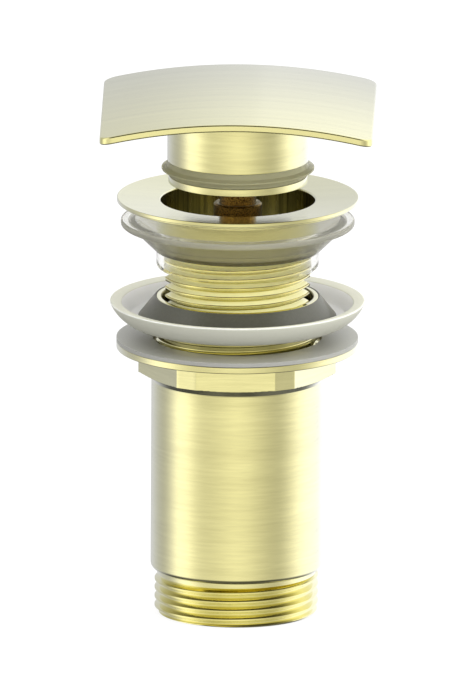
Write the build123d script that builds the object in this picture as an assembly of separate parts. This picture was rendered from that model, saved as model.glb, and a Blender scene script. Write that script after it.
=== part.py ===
import os
from math import atan, degrees, radians, sin, sqrt

from build123d import *

# Pop up basin waste with a square arched cover, as it stands loosely screwed together.
# Millimetres, +Z up. The origin is on the axis, at the bottom end of the tail thread.
# Threads are drawn as plain cylinders at their crests.

# Clearances, per side
running = 0.05  # turned metal in a turned bore, and a thread's crest in its nut
rubber = 0.1  # a rubber or silicone ring round metal
loose = 0.3  # a plastic ring dropped over metal

# Small edges that many pieces share
thread_chamfer = 0.9
metal_bevel = 0.25
fine_bevel = 0.15
rubber_bevel = 0.5
overshoot = 1.0  # how far a cutter passes the surface that it cuts

# Tail body: thread, tube, hexagon, seat flange and neck, from the bottom up
tail_thread_dia = 41.9  # G 1 1/4
tail_thread_length = 11.5
tail_relief_width = 1.2
tail_relief_depth = 0.6
tail_wall = 2.95  # from the thread's crest to the bore
tube_step = 1.05  # from the thread's crest out to the tube
tube_length = 50.9
tube_wall = 2.3
tube_edge_bevel = 1.1
hex_step = 1.35  # from the tube out to the hexagon's flats
hex_corner_step = 1.95  # from the flats out to the cut corners
hex_height = 6.85
hex_corner_rise = 0.8  # how far the underside rises from the flats to the corners
hex_foot_height = 1.7  # the underside's slope down to the tube
seat_flange_dia = 62.0
seat_flange_thickness = 1.75
neck_height = 11.8
neck_wall = 1.8
neck_mouth_gap = 0.45  # round the shank's thread
neck_mouth_depth = 3.0
neck_mouth_bevel = 0.6  # leaves room for the shoulder's foot when it is screwed right in
neck_thread_length = 17.8

# Rings that seal and press on the basin's underside
flat_washer_gap = 0.9  # round the neck
flat_washer_thickness = 1.05
cup_height = 6.5
cup_foot_width = 2.6
cup_floor_thickness = 2.1
cup_floor_width = 2.2  # from the cone's base to the foot of the bowl's wall
cup_wall_slope = 2.1  # how far the wall leans out
cup_rim_width = 3.1
cup_rim_drop = 0.6  # from the rim's outer edge down to its inner edge
cone_base_width = 4.6
cone_height = 5.4
cone_top_land = 0.25

# Flange body: flange, shoulder and screwed shank
screwed_out = 7.5  # gap from the neck's top to the shoulder's foot
body_thread_dia = 37.9  # G 1 1/8
body_thread_length = 26.3
body_wall = 3.15  # from the thread's crest to the bore
shoulder_step = 1.9  # from the thread's crest out to the shoulder
shoulder_length = 17.55
shoulder_foot_height = 1.4
flange_rim = 1.05
flange_dish = 0.7
flange_step_inset = 0.8
flange_step_height = 0.5
plug_hole_wall = 1.1
plug_hole_depth = 7.8
plug_hole_edge_bevel = 0.4
plug_hole_cone_height = 7.5
plug_hole_cone_bevel = 1.5

# Gasket under the flange
gasket_drop = 4.75  # from the flange's underside to the gasket's rim
gasket_dia = 60.0
gasket_rim_height = 1.6
gasket_height = 7.8
gasket_throat_dia = 55.2
gasket_mouth_dia = 52.4
gasket_sleeve_height = 2.8
gasket_sleeve_wall = 0.4

# Crossbar that carries the cartridge in the shank
crossbar_ledge = 0.7
crossbar_depth = 26.9  # from the flange's rim to the ledge
crossbar_ring_wall = 1.4
crossbar_height = 4.0
crossbar_arms = 4
crossbar_arm_width = 2.6
boss_wall = 2.45
boss_height = 6.0

# Push cartridge: barrel, nut, end cap and follower pins
barrel_step = 0.2  # from the screwed shank out to the barrel
barrel_height = 19.45  # above the boss
barrel_edge_bevel = 0.4
barrel_foot_step = 1.8  # from the barrel out to the foot's flats
barrel_foot_height = 2.0
shank_dia = 12.0
barrel_wall = 0.8
guide_length = 3.45
cartridge_nut_wall = 2.5  # from the shank out to the nut's flats
cartridge_nut_height = 4.0
cap_spigot_height = 2.0
cap_flange_height = 1.6
cap_vent_dia = 2.4
follower_dia = 2.0
follower_count = 2
follower_recess = 0.1  # how far the pins stay below the shank's surface

# Plunger rod with its piston and the cover's stud
stroke = 11.5  # open to fully pressed
rod_step = 0.55  # from the cavity's wall in to the rod
rod_spare = 0.5  # left between the barrel's top and the cover's nut when fully pressed
piston_length = 4.0
ring_section = 0.9
ring_groove_spare = 0.3
spindle_tail = 2.4
stud_step = 1.65  # from the rod in to the stud
stud_tip = 0.9
rod_nut_wall = 2.0  # from the stud out to the nut's flats
rod_nut_height = 2.6

# Index cam: a drum with a closed zigzag groove for the follower pins
cam_side_clearance = 0.1
cam_wall = 0.8  # from the groove's floor to the bore
groove_side_clearance = 0.1
groove_depth = 1.3
groove_land = 1.0
groove_rise_angle = 60.0  # turn from open to fully pressed
groove_latch_drop = 1.5

# Spring and its seat
spring_seat_thickness = 0.9
spring_seat_clearance = 0.1
spring_wire = 0.8
spring_coils = 5
spring_side_clearance = 0.8
spring_spare = 0.5

# Plug: core, seal, collar and cover plate
core_stand = 5.45  # from the barrel's top to the core's underside
core_ring_inset = 0.3  # from the collar in to the ring below the seal
core_ring_height = 1.85
seal_groove_height = 4.0
seal_groove_depth = 0.4  # from the spigot in to the groove's floor
core_spigot_dia = 32.0
core_wall = 2.0
core_cavity_bevel = 0.8
web_thickness = 3.0
web_rim = 1.0
seal_lip_clearance = 0.15  # to the plug hole
seal_lip_drop = 0.2  # from the seal's middle down to its lip
seal_lip_width = 0.5
seal_foot_inset = 0.15  # from the core's ring
seal_top_inset = 0.55  # from the collar
collar_wall = 2.1
cover_width = 70.0
cover_depth = 69.0
cover_thickness = 1.9
cover_arch_radius = 151.4
cover_corner_round = 3.5
cover_edge_round = 0.35
cover_top_above_core = 22.8  # from the core's underside to the top of the arch

# Diameters that follow from the sizes above
tail_relief_dia = tail_thread_dia - 2 * tail_relief_depth
tail_bore_dia = tail_thread_dia - 2 * tail_wall
tube_dia = tail_thread_dia + 2 * tube_step
tube_bore_dia = tube_dia - 2 * tube_wall
hex_across_flats = tube_dia + 2 * hex_step
hex_across_cut_corners = hex_across_flats + 2 * hex_corner_step
nut_bore_dia = body_thread_dia + 2 * running
neck_dia = nut_bore_dia + 2 * neck_wall
neck_mouth_dia = body_thread_dia + 2 * neck_mouth_gap
flat_washer_hole_dia = neck_dia + 2 * flat_washer_gap
cup_hole_dia = neck_dia + 2 * loose
cup_foot_dia = cup_hole_dia + 2 * cup_foot_width
cone_bore_dia = neck_dia + 2 * rubber
cone_base_dia = cone_bore_dia + 2 * cone_base_width
cup_floor_dia = cone_base_dia + 2 * cup_floor_width
cup_mouth_dia = cup_floor_dia + 2 * cup_wall_slope
cup_dia = cup_mouth_dia + 2 * cup_rim_width
body_bore_dia = body_thread_dia - 2 * body_wall
crossbar_bore_dia = body_bore_dia + 2 * crossbar_ledge
flange_dia = seat_flange_dia  # the flanges above and below the basin line up
shoulder_dia = body_thread_dia + 2 * shoulder_step
plug_hole_dia = shoulder_dia - 2 * plug_hole_wall
flange_step_dia = flange_dia - 2 * flange_step_inset
boss_bore_dia = shank_dia + 2 * running
boss_dia = boss_bore_dia + 2 * boss_wall
barrel_dia = shank_dia + 2 * barrel_step
barrel_foot_flats = barrel_dia + 2 * barrel_foot_step
cartridge_nut_flats = shank_dia + 2 * cartridge_nut_wall
cavity_dia = shank_dia - 2 * barrel_wall
piston_dia = cavity_dia - 2 * running
rod_dia = cavity_dia - 2 * rod_step
stud_dia = rod_dia - 2 * stud_step
rod_nut_flats = stud_dia + 2 * rod_nut_wall
cam_dia = cavity_dia - 2 * cam_side_clearance
groove_floor_dia = cam_dia - 2 * groove_depth
cam_bore_dia = groove_floor_dia - 2 * cam_wall
spindle_dia = cam_bore_dia - 2 * running
spring_mean_dia = cavity_dia - 2 * spring_side_clearance - spring_wire
seal_groove_dia = core_spigot_dia - 2 * seal_groove_depth
core_cavity_dia = seal_groove_dia - 2 * core_wall
collar_bore_dia = core_spigot_dia + 2 * running
collar_dia = collar_bore_dia + 2 * collar_wall
core_ring_dia = collar_dia - 2 * core_ring_inset
seal_lip_dia = plug_hole_dia - 2 * seal_lip_clearance
seal_foot_dia = core_ring_dia - 2 * seal_foot_inset
seal_top_dia = collar_dia - 2 * seal_top_inset

# Groove of the cam
groove_width = follower_dia + 2 * groove_side_clearance
groove_reach = groove_depth + overshoot

# Heights that follow from the sizes above
tube_bottom = tail_thread_length
hex_bottom = tube_bottom + tube_length
seat_bottom = hex_bottom + hex_height
seat_top = seat_bottom + seat_flange_thickness
neck_top = seat_top + neck_height
nut_top = neck_top - neck_mouth_depth
nut_bottom = nut_top - neck_thread_length
cup_floor = neck_top - cone_height
cup_bottom = cup_floor - cup_floor_thickness
shoulder_foot = neck_top + screwed_out
thread_bottom = shoulder_foot - body_thread_length
flange_under = shoulder_foot + shoulder_length
flange_top = flange_under + flange_rim
hole_edge = flange_top - flange_dish
cone_top = hole_edge - plug_hole_depth
gasket_top = flange_under - gasket_drop
gasket_bottom = gasket_top - gasket_height
ledge = flange_top - crossbar_depth
boss_top = ledge + boss_height
barrel_top = boss_top + barrel_height
guide_bottom = barrel_top - guide_length
piston_top = guide_bottom - running
piston_middle = piston_top - piston_length / 2
piston_bottom = piston_top - piston_length
cam_top = piston_bottom - running
cam_height = stroke + groove_width + 2 * groove_land
cam_bottom = cam_top - cam_height
follower_height = cam_bottom + groove_land + groove_width / 2
spring_seat_top = cam_bottom - running
spring_top = spring_seat_top - spring_seat_thickness
spring_length = stroke + (spring_coils + 1) * spring_wire + spring_spare
spring_bottom = spring_top - spring_length
barrel_bottom = spring_bottom - cap_spigot_height
core_bottom = barrel_top + core_stand
rod_shoulder = barrel_top + stroke + rod_spare
web_bottom = rod_shoulder + rod_nut_height
web_top = web_bottom + web_thickness
seal_groove_bottom = core_bottom + core_ring_height
seal_groove_top = seal_groove_bottom + seal_groove_height
cover_top = core_bottom + cover_top_above_core

upright = (Align.CENTER, Align.CENTER, Align.MIN)


def turned(*corners):
    """Lathe a closed outline of (radius, height) corners; a third number bevels that corner."""
    outline = make_face(Polyline(*[corner[:2] for corner in corners], close=True))
    for corner in corners:
        if len(corner) == 3:
            place = Vector(corner[0], corner[1], 0)
            outline = chamfer(outline.vertices().sort_by_distance(place)[0], corner[2])
    return revolve(Plane.XZ * outline, Axis.Z)


def round_section(radius, height, dia):
    """Section of a round wire or ring beside the axis, drawn with eight sides."""
    return Plane.XZ * Pos(radius, height) * RegularPolygon(dia / 2, 8)


def ring(outer_dia, inner_dia, bottom, top):
    """A plain turned ring."""
    inner = inner_dia / 2
    outer = outer_dia / 2
    return turned((inner, bottom), (outer, bottom), (outer, top), (inner, top))


def hexagon(across_flats, bottom, top, turn=0):
    """A hexagonal bar with a flat at the front, turned by the given angle."""
    outline = RegularPolygon(across_flats / 2, 6, major_radius=False, rotation=turn)
    return extrude(Plane.XY.offset(bottom) * outline, top - bottom)


def hex_nut(across_flats, bore_dia, bottom, top):
    """A hexagonal nut with its corners turned down at both ends."""
    flat = across_flats / 2
    corner = across_flats / sqrt(3)
    drop = (corner - flat) * sin(radians(30))
    blank = turned(
        (bore_dia / 2, bottom),
        (flat, bottom),
        (corner, bottom + drop),
        (corner, top - drop),
        (flat, top),
        (bore_dia / 2, top),
    )
    return blank & hexagon(across_flats, bottom, top)


def tail_body():
    """Threaded tail, tube, hexagon, seat flange and neck, in one turned casting."""
    thread = tail_thread_dia / 2
    relief = tail_relief_dia / 2
    relief_bottom = tube_bottom - tail_relief_width
    bore_step = (tube_bore_dia - tail_bore_dia) / 2
    tube_edge = min(tube_edge_bevel, tube_dia / 2 - relief - running)
    turned_body = turned(
        (tail_bore_dia / 2, 0),
        (thread - thread_chamfer, 0),
        (thread, thread_chamfer),
        (thread, relief_bottom),
        (relief, relief_bottom),
        (relief, tube_bottom),
        (tube_dia / 2, tube_bottom, tube_edge),
        (tube_dia / 2, seat_bottom),
        (seat_flange_dia / 2, seat_bottom, metal_bevel),
        (seat_flange_dia / 2, seat_top, metal_bevel),
        (neck_dia / 2, seat_top),
        (neck_dia / 2, neck_top, metal_bevel),
        (neck_mouth_dia / 2, neck_top, neck_mouth_bevel),
        (neck_mouth_dia / 2, nut_top),
        (nut_bore_dia / 2, nut_top),
        (nut_bore_dia / 2, nut_bottom),
        (tube_bore_dia / 2, nut_bottom),
        (tube_bore_dia / 2, tube_bottom + bore_step),
        (tail_bore_dia / 2, tube_bottom),
    )
    hex_foot = hex_bottom - hex_foot_height
    inside_wall = (tube_dia + tube_bore_dia) / 4
    blank = turned(
        (inside_wall, hex_foot),
        (tube_dia / 2, hex_foot),
        (hex_across_flats / 2, hex_bottom),
        (seat_flange_dia / 2, hex_bottom + hex_corner_rise),
        (seat_flange_dia / 2, seat_bottom),
        (inside_wall, seat_bottom),
    )
    flats = hexagon(hex_across_flats, hex_foot, seat_bottom)
    corner_cuts = hexagon(hex_across_cut_corners, hex_foot, seat_bottom, turn=30)
    return turned_body + (blank & flats & corner_cuts)


def flat_washer():
    """Grey washer that lies on the seat flange."""
    return ring(seat_flange_dia, flat_washer_hole_dia, seat_top, seat_top + flat_washer_thickness)


def cup_washer():
    """White bowl that spreads the clamping load on the basin."""
    hole = cup_hole_dia / 2
    rim = (cup_dia / 2, cup_bottom + cup_height)
    foot = (cup_foot_dia / 2, cup_bottom)
    bowl = TangentArc(foot, rim, tangent=(1, 0))
    inside = Polyline(
        rim,
        (cup_mouth_dia / 2, rim[1] - cup_rim_drop),
        (cup_floor_dia / 2, cup_floor),
        (hole, cup_floor),
        (hole, cup_bottom),
        foot,
    )
    return revolve(Plane.XZ * make_face(bowl + inside), Axis.Z)


def cone_seal():
    """Rubber cone that the cup pushes into the hole of the basin."""
    bore = cone_bore_dia / 2
    return turned(
        (bore, cup_floor),
        (cone_base_dia / 2, cup_floor, rubber_bevel),
        (bore + cone_top_land, neck_top),
        (bore, neck_top),
    )


def flange_body():
    """Flange with the plug hole, the shoulder that the gasket grips, and the screwed shank."""
    shank = body_thread_dia / 2
    shoulder = shoulder_dia / 2
    hole = plug_hole_dia / 2
    seat = crossbar_bore_dia / 2
    step_bottom = flange_under - flange_step_height
    return turned(
        (body_bore_dia / 2, thread_bottom),
        (shank - thread_chamfer, thread_bottom),
        (shank, thread_bottom + thread_chamfer),
        (shank, shoulder_foot - shoulder_foot_height / 2),
        (shoulder, shoulder_foot + shoulder_foot_height / 2, metal_bevel),
        (shoulder, step_bottom),
        (flange_step_dia / 2, step_bottom, fine_bevel),
        (flange_step_dia / 2, flange_under),
        (flange_dia / 2, flange_under, metal_bevel),
        (flange_dia / 2, flange_top, metal_bevel),
        (hole, hole_edge, plug_hole_edge_bevel),
        (hole, cone_top),
        (seat, cone_top - plug_hole_cone_height, plug_hole_cone_bevel),
        (seat, ledge),
        (body_bore_dia / 2, ledge),
    )


def flange_gasket():
    """Silicone cup that grips the shoulder and seals under the basin's rim."""
    bore = shoulder_dia / 2 + rubber
    sleeve = bore + gasket_sleeve_wall
    rim_bottom = gasket_top - gasket_rim_height
    return turned(
        (bore, gasket_bottom),
        (sleeve, gasket_bottom, fine_bevel),
        (gasket_throat_dia / 2, rim_bottom, rubber_bevel),
        (gasket_dia / 2, rim_bottom, rubber_bevel),
        (gasket_dia / 2, gasket_top, rubber_bevel),
        (gasket_mouth_dia / 2, gasket_top, rubber_bevel),
        (sleeve, gasket_bottom + gasket_sleeve_height, rubber_bevel),
        (bore, gasket_bottom + gasket_sleeve_height),
    )


def crossbar():
    """Ring, arms and boss that hold the cartridge in the middle of the water way."""
    ring_outer = crossbar_bore_dia / 2 - running
    ring_middle = ring_outer - crossbar_ring_wall / 2
    boss_middle = (boss_dia + boss_bore_dia) / 4
    rim = ring(2 * ring_outer, 2 * (ring_outer - crossbar_ring_wall), ledge, ledge + crossbar_height)
    arm = Box(
        ring_middle - boss_middle,
        crossbar_arm_width,
        crossbar_height,
        align=(Align.MIN, Align.CENTER, Align.MIN),
    )
    spider = rim + ring(boss_dia, boss_bore_dia, ledge, boss_top)
    for count in range(crossbar_arms):
        turn = 360 * (count + 0.5) / crossbar_arms
        spider += Rot(0, 0, turn) * Pos(boss_middle, 0, ledge) * arm
    return spider


def radial_pin(count, dia, inner, outer):
    """A round pin that points away from the axis at the followers' height."""
    pin = Cylinder(dia / 2, outer - inner, align=upright)
    turn = 360 * count / follower_count
    return Rot(0, 0, turn) * Pos(inner, 0, follower_height) * Rot(0, 90, 0) * pin


def cartridge_barrel():
    """Barrel with the guide for the rod on top, a hexagonal foot and a screwed shank."""
    cavity = cavity_dia / 2
    guide = rod_dia / 2 + running
    foot_bore_dia = (barrel_dia + cavity_dia) / 2
    barrel = turned(
        (cavity, barrel_bottom),
        (shank_dia / 2, barrel_bottom),
        (shank_dia / 2, boss_top),
        (barrel_dia / 2, boss_top),
        (barrel_dia / 2, barrel_top, barrel_edge_bevel),
        (guide, barrel_top, fine_bevel),
        (guide, guide_bottom),
        (cavity, guide_bottom),
    )
    barrel += hex_nut(barrel_foot_flats, foot_bore_dia, boss_top, boss_top + barrel_foot_height)
    for count in range(follower_count):
        barrel -= radial_pin(count, follower_dia + 2 * running, cavity / 2, shank_dia)
    return barrel


def follower_pins():
    """Pins in the barrel's wall that run in the cam's groove."""
    inner = groove_floor_dia / 2 + running
    outer = shank_dia / 2 - follower_recess
    return Compound([radial_pin(count, follower_dia, inner, outer) for count in range(follower_count)])


def cartridge_nut():
    """Nut that clamps the barrel to the crossbar from below."""
    return hex_nut(cartridge_nut_flats, boss_bore_dia, ledge - cartridge_nut_height, ledge)


def barrel_cap():
    """Cap that closes the barrel and carries the spring."""
    cap_bottom = barrel_bottom - cap_flange_height
    spigot = piston_dia / 2
    return turned(
        (cap_vent_dia / 2, cap_bottom),
        (shank_dia / 2, cap_bottom, metal_bevel),
        (shank_dia / 2, barrel_bottom),
        (spigot, barrel_bottom),
        (spigot, spring_bottom),
        (cap_vent_dia / 2, spring_bottom),
    )


def plunger_rod():
    """Stud, rod, piston and spindle, turned in one piece."""
    piston = piston_dia / 2
    groove_radius = piston - ring_section - running
    groove_bottom = piston_middle - (ring_section + ring_groove_spare) / 2
    groove_top = piston_middle + (ring_section + ring_groove_spare) / 2
    spindle_bottom = spring_top - spindle_tail
    stud_top = web_top + stud_tip
    return turned(
        (0, spindle_bottom),
        (spindle_dia / 2, spindle_bottom, metal_bevel),
        (spindle_dia / 2, piston_bottom),
        (piston, piston_bottom),
        (piston, groove_bottom),
        (groove_radius, groove_bottom),
        (groove_radius, groove_top),
        (piston, groove_top),
        (piston, piston_top),
        (rod_dia / 2, piston_top),
        (rod_dia / 2, rod_shoulder),
        (stud_dia / 2, rod_shoulder),
        (stud_dia / 2, stud_top, metal_bevel),
        (0, stud_top),
    )


def rod_o_ring():
    """Ring in the piston's groove that keeps dirt out of the cam."""
    section = round_section((piston_dia - ring_section) / 2, piston_middle, ring_section)
    return revolve(section, Axis.Z)


def groove_leg(start_angle, turn, start_height, rise):
    """A cutter for one slanted leg of the groove."""
    slant = sqrt((cam_dia / 2 * radians(turn)) ** 2 + rise**2)
    width = groove_width * slant / rise
    section = Pos(groove_floor_dia / 2 + groove_reach / 2, 0, 0) * Rectangle(groove_reach, width)
    leg = Solid.extrude_linear_with_rotation(section.face(), (0, 0, 0), (0, 0, rise), turn)
    return Rot(0, 0, start_angle) * Pos(0, 0, start_height) * leg


def groove_corner(angle, height):
    """A cutter for the round corner between two legs."""
    corner = Cylinder(groove_width / 2, groove_reach, align=upright)
    return Rot(0, 0, angle) * Pos(groove_floor_dia / 2, 0, height) * Rot(0, 90, 0) * corner


def index_cam():
    """Drum whose zigzag groove turns it a step at each press, and holds the plug down or up."""
    cam = ring(cam_dia, cam_bore_dia, cam_bottom, cam_top)
    top_height = follower_height + stroke
    latch_height = top_height - groove_latch_drop
    latch_turn = 180 / follower_count - groove_rise_angle
    for count in range(follower_count):
        open_angle = 360 * count / follower_count
        latch_angle = open_angle + 180 / follower_count
        cam -= groove_corner(open_angle, follower_height)
        cam -= groove_corner(latch_angle, latch_height)
        for side in (1, -1):
            cam -= groove_leg(open_angle, side * groove_rise_angle, follower_height, stroke)
            cam -= groove_corner(open_angle + side * groove_rise_angle, top_height)
            cam -= groove_leg(latch_angle, side * latch_turn, latch_height, groove_latch_drop)
    return cam


def spring_seat():
    """Thrust washer between the spring and the turning cam."""
    bore_dia = spindle_dia + 2 * spring_seat_clearance
    return ring(cam_dia, bore_dia, spring_top, spring_seat_top)


def return_spring():
    """Compression spring in its open length: tilted half turns, with a flat one at each end."""
    rise = (spring_length - spring_wire) / (2 * spring_coils)
    mean = spring_mean_dia / 2
    slant = sqrt(mean**2 + (rise / 2) ** 2)
    tilt = degrees(atan(rise / 2 / mean))
    flat_turn = revolve(round_section(mean, 0, spring_wire), Axis.Z, 180)
    slanted_turn = Rot(0, tilt, 0) * revolve(round_section(slant, 0, spring_wire), Axis.Z, 180)
    foot = spring_bottom + spring_wire / 2
    spring = Pos(0, 0, foot) * Rot(0, 0, 180) * flat_turn
    for count in range(2 * spring_coils):
        spring += Pos(0, 0, foot + (count + 0.5) * rise) * Rot(0, 0, 180 * count) * slanted_turn
    return spring + Pos(0, 0, spring_top - spring_wire / 2) * flat_turn


def rod_nut():
    """Nut that locks the cover at the angle it was turned to."""
    return hex_nut(rod_nut_flats, stud_dia + 2 * running, rod_shoulder, web_bottom)


def plug_core():
    """Turned cup with the seal's groove, screwed on the rod by its web."""
    cavity = core_cavity_dia / 2
    groove = seal_groove_dia / 2
    spigot = core_spigot_dia / 2
    stud_bore = stud_dia / 2 + running
    return turned(
        (cavity, core_bottom),
        (core_ring_dia / 2, core_bottom, metal_bevel),
        (core_ring_dia / 2, seal_groove_bottom, metal_bevel),
        (groove, seal_groove_bottom),
        (groove, seal_groove_top),
        (spigot, seal_groove_top),
        (spigot, web_top + web_rim),
        (cavity, web_top + web_rim),
        (cavity, web_top),
        (stud_bore, web_top),
        (stud_bore, web_bottom),
        (cavity, web_bottom, core_cavity_bevel),
    )


def plug_seal():
    """Silicone ring with a lip that closes the plug hole."""
    bore = seal_groove_dia / 2 + rubber
    foot = seal_groove_bottom + running
    top = seal_groove_top - running
    lip = (foot + top) / 2 - seal_lip_drop
    return turned(
        (bore, foot),
        (seal_foot_dia / 2, foot),
        (seal_lip_dia / 2, lip - seal_lip_width / 2, fine_bevel),
        (seal_lip_dia / 2, lip + seal_lip_width / 2, fine_bevel),
        (seal_top_dia / 2, top),
        (bore, top),
    )


def arch_height(radius, width):
    """Height of a cover arc, of a radius about the arch's own centre, at half the given width."""
    return cover_top - cover_arch_radius + sqrt(radius**2 - (width / 2) ** 2)


def arch_line(radius, width):
    """Arc across the cover, in the plane of its front view."""
    side = arch_height(radius, width)
    return ThreePointArc((-width / 2, side), (0, arch_height(radius, 0)), (width / 2, side))


def cover_plate():
    """Square plate, arched from left to right."""
    top_arc = arch_line(cover_arch_radius, cover_width)
    under_arc = arch_line(cover_arch_radius - cover_thickness, cover_width)
    ends = Line(top_arc @ 0, under_arc @ 0) + Line(top_arc @ 1, under_arc @ 1)
    slab = extrude(Plane.XZ * make_face(top_arc + under_arc + ends), cover_depth / 2, both=True)
    plan = RectangleRounded(cover_width, cover_depth, cover_corner_round)
    blank = extrude(Plane.XY.offset(core_bottom) * plan, cover_top_above_core)
    plate = slab & blank
    top_face = plate.faces().filter_by(GeomType.CYLINDER).sort_by(SortBy.AREA)[-1]
    return fillet(top_face.edges(), min(cover_edge_round, cover_thickness / 3))


def cover_collar():
    """Tube under the plate, with its top shaped to the arch."""
    bore = collar_bore_dia / 2
    tube = turned(
        (bore, seal_groove_top),
        (collar_dia / 2, seal_groove_top, metal_bevel),
        (collar_dia / 2, cover_top),
        (bore, cover_top),
    )
    width = collar_dia + 2 * overshoot
    line = arch_line(cover_arch_radius - cover_thickness - running / 2, width)
    over = cover_top + overshoot
    lid = Polyline(line @ 1, (width / 2, over), (-width / 2, over), line @ 0)
    return tube - extrude(Plane.XZ * make_face(line + lid), width / 2, both=True)


pieces = {
    "tail_body": tail_body,
    "flat_washer": flat_washer,
    "cup_washer": cup_washer,
    "cone_seal": cone_seal,
    "flange_body": flange_body,
    "flange_gasket": flange_gasket,
    "crossbar": crossbar,
    "cartridge_barrel": cartridge_barrel,
    "cartridge_nut": cartridge_nut,
    "barrel_cap": barrel_cap,
    "follower_pins": follower_pins,
    "index_cam": index_cam,
    "spring_seat": spring_seat,
    "return_spring": return_spring,
    "plunger_rod": plunger_rod,
    "rod_o_ring": rod_o_ring,
    "rod_nut": rod_nut,
    "plug_core": plug_core,
    "plug_seal": plug_seal,
    "cover_collar": cover_collar,
    "cover_plate": cover_plate,
}

os.makedirs("parts", exist_ok=True)
for name, make in pieces.items():
    export_step(make(), f"parts/{name}.step")
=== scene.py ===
# Pop up basin waste: the finish of every piece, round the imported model.
import math

import bmesh
import bpy
import numpy as np
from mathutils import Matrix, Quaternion, Vector


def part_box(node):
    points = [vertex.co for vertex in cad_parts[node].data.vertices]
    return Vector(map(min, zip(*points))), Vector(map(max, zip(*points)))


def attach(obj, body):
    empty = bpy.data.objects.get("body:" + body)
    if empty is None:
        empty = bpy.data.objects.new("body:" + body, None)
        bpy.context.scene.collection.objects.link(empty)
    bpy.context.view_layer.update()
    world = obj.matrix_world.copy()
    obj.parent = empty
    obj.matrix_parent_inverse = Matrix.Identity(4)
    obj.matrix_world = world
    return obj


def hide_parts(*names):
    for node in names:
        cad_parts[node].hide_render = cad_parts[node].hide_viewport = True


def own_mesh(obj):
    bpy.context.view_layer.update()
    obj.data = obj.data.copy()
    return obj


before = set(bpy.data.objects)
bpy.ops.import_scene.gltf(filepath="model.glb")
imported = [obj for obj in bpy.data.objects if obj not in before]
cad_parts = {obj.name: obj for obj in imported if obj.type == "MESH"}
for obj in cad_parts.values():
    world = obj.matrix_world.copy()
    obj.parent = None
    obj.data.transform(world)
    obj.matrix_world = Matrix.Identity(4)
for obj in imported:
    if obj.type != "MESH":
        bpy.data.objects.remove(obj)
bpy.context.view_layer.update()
print("frame loaded with", len(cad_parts), "nodes")

# Sizes are in millimetres, and heights count from the bottom end of the tail thread
mm = 0.001
columns = 192  # faces round each turned piece
tau = 2 * math.pi
around = np.linspace(0, tau, columns + 1)  # angles of the points in a row
smoothAngle = 38  # edges sharper than this stay sharp
sameSpot = 2e-7  # metres between points that are merged
hair = 0.01  # keeps two rows of one mesh apart
scene = bpy.context.scene


# Radius, lowest and highest point of a node of the frame
def reach(node):
    low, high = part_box(node)
    return (high.x - low.x) / 2 / mm, low.z / mm, high.z / mm


# Meshes


# Outline with an arc at each corner that has a third number, its radius
def rounded(corners, steps=4):
    points = []
    for index, corner in enumerate(corners):
        here = np.array(corner[:2], float)
        if len(corner) < 3:
            points.append(here)
            continue
        before = np.array(corners[index - 1][:2]) - here
        after = np.array(corners[(index + 1) % len(corners)][:2]) - here
        before /= np.linalg.norm(before)
        after /= np.linalg.norm(after)
        half = math.acos(np.clip(before @ after, -1, 1)) / 2
        run = corner[2] / math.tan(half)
        middle = before + after
        centre = here + middle / np.linalg.norm(middle) * corner[2] / math.sin(half)
        start, end, sweep = here + before * run - centre, here + after * run - centre, math.pi - 2 * half
        for step in range(steps + 1):
            share = step / steps
            mixed = math.sin((1 - share) * sweep) * start + math.sin(share * sweep) * end
            points.append(centre + mixed / math.sin(sweep))
    return points


# Row of points at these angles; one radius or height may stand for all
def rowAt(angles, radii, heights):
    heights = np.broadcast_to(heights, angles.shape)
    return np.stack([radii * np.cos(angles), radii * np.sin(angles), heights], axis=1)


# Rows of a turned surface, one for each (radius, height) point
def turnedRows(outline):
    return [rowAt(around, r, z) for r, z in outline]


# Closed mesh from rows that go round the section of a turned piece
def meshFromRows(name, rows, sharpAngle=smoothAngle):
    points = np.array(rows)
    count, width = points.shape[:2]
    faces = []
    for row in range(count):
        here, above = row * width, (row + 1) % count * width
        faces += [(here + k, here + k + 1, above + k + 1, above + k) for k in range(width - 1)]
    mesh = bpy.data.meshes.new(name)
    mesh.from_pydata((points.reshape(-1, 3) * mm).tolist(), [], faces)
    return finishMesh(name, mesh, sharpAngle)


# Merges doubles, turns the faces outward and shades them smooth up to an angle
def finishMesh(name, mesh, sharpAngle=smoothAngle):
    work = bmesh.new()
    work.from_mesh(mesh)
    bmesh.ops.remove_doubles(work, verts=work.verts, dist=sameSpot)
    bmesh.ops.dissolve_degenerate(work, edges=work.edges, dist=sameSpot / 2)
    bmesh.ops.recalc_face_normals(work, faces=work.faces)
    work.to_mesh(mesh)
    work.free()
    mesh.shade_smooth()
    mesh.set_sharp_from_angle(angle=math.radians(sharpAngle))
    piece = bpy.data.objects.new(name, mesh)
    scene.collection.objects.link(piece)
    weighted = piece.modifiers.new("weighted", "WEIGHTED_NORMAL")
    weighted.keep_sharp = True
    return piece


def turnedPiece(name, corners, steps=4):
    return meshFromRows(name, turnedRows(rounded(corners, steps)))


# Pipe thread, 11 turns to the inch
pitch = 2.309
threadSize = {
    "depth": 1.479,
    "flankAngle": 27.5,
    "rootShare": 0.083,  # half the flat at the root, as a share of the pitch
    "softShare": 0.03,  # rounding of the corners, as a share of the pitch
    "edgeLine": 0.26,  # depth of the painted dark line below the crest
}
# Rows of one turn, as shares of the pitch from the middle of a groove
threadPhases = (
    -0.45, -0.417, -0.36, -0.3, -0.2, -0.13, -0.083, -0.04, 0.0,
    0.04, 0.083, 0.13, 0.2, 0.25, 0.34, 0.417, 0.45, 0.5,
)


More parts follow.
